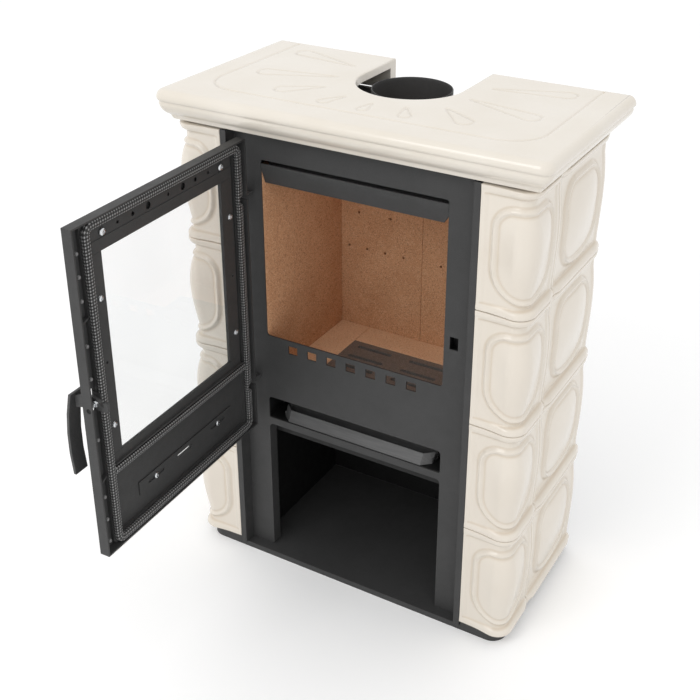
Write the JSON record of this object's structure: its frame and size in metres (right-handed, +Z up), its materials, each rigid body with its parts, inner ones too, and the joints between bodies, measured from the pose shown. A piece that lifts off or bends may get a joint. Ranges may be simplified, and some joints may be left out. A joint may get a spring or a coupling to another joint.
{
  "type": "tiled wood stove",
  "caption": "Upright wood stove in a shell of glazed tiles, with an opening glazed door, hook latch, ash pan, log store and a ceramic top cut out for the flue.",
  "frame": {"origin": "on the floor under the middle of the tiled body", "axes": "+Z up, -Y out of the front of the stove, +X to the right as seen from the front"},
  "size_m": [0.756, 0.8215, 0.983],
  "materials": {
    "glazed_tile": "ivory glaze, glossy",
    "stove_paint": "anthracite heat-proof paint, matt",
    "cast_iron": "raw casting",
    "fireclay": "rough fired board",
    "pan_steel": "plain sheet",
    "zinc": "zinc plated",
    "rope": "braided glass-fibre seal",
    "glass": "clear ceramic glass"
  },
  "bodies": {
    "stove": {"air_duct": "stove_paint", "ash_chamber": "stove_paint", "baffle": "fireclay", "base_tray": "stove_paint", "ceramic_top": "glazed_tile", "corner_tile_left_1": "glazed_tile", "corner_tile_left_2": "glazed_tile", "corner_tile_left_3": "glazed_tile", "corner_tile_left_4": "glazed_tile", "corner_tile_right_1": "glazed_tile", "corner_tile_right_2": "glazed_tile", "corner_tile_right_3": "glazed_tile", "corner_tile_right_4": "glazed_tile", "deflector": "stove_paint", "firebox_shell": "stove_paint", "flue_collar": "stove_paint", "front_plate": "stove_paint", "hinge_lug_lower": "stove_paint", "hinge_lug_upper": "stove_paint", "lining_back_left": "fireclay", "lining_back_right": "fireclay", "lining_floor_back": "fireclay", "lining_floor_front": "fireclay", "lining_floor_left": "fireclay", "lining_floor_right": "fireclay", "lining_left": "fireclay", "lining_right": "fireclay", "rear_shield": "stove_paint", "side_panel_left": "stove_paint", "side_panel_right": "stove_paint", "side_tile_left_1": "glazed_tile", "side_tile_left_2": "glazed_tile", "side_tile_left_3": "glazed_tile", "side_tile_left_4": "glazed_tile", "side_tile_right_1": "glazed_tile", "side_tile_right_2": "glazed_tile", "side_tile_right_3": "glazed_tile", "side_tile_right_4": "glazed_tile", "store_liner": "stove_paint", "top_plate": "stove_paint"},
    "door": {"door_glass": "glass", "door_pan": "stove_paint", "door_rope": "rope", "door_rope_middle": "rope", "glass_strip_bottom": "stove_paint", "glass_strip_free": "stove_paint", "glass_strip_hinge": "stove_paint", "glass_strip_top": "stove_paint", "latch_bolt": "zinc", "latch_bracket": "stove_paint", "latch_nut": "zinc", "slide_screw_left": "zinc", "slide_screw_right": "zinc"},
    "latch": {"latch_handle": "stove_paint"},
    "air_slide": {"air_slide": "stove_paint"},
    "ash_pan": {"ash_pan": "pan_steel"},
    "grate": {"grate": "cast_iron"}
  },
  "joints": [
    {"name": "door_hinge", "type": "hinge", "parent": "stove", "child": "door", "pos_m": [-0.225, -0.17, 0.6], "axis": [0, 0, -1], "range_deg": [-88.24, 22]},
    {"name": "latch_turn", "type": "hinge", "parent": "door", "child": "latch", "pos_m": [-0.19029, -0.59954, 0.612], "axis": [-0.0307, 0.9995, 0], "range_deg": [-14, 25]},
    {"name": "air_slide_travel", "type": "slide", "parent": "door", "child": "air_slide", "axis": [0.0307, -0.9995, 0], "range_m": [-0.016, 0.016]},
    {"name": "ash_pan_pull", "type": "slide", "parent": "stove", "child": "ash_pan", "axis": [0, -1, 0], "range_m": [0, 0.2]},
    {"name": "grate_lift", "type": "slide", "parent": "stove", "child": "grate", "axis": [0, 0, 1], "range_m": [0, 0.03]}
  ]
}
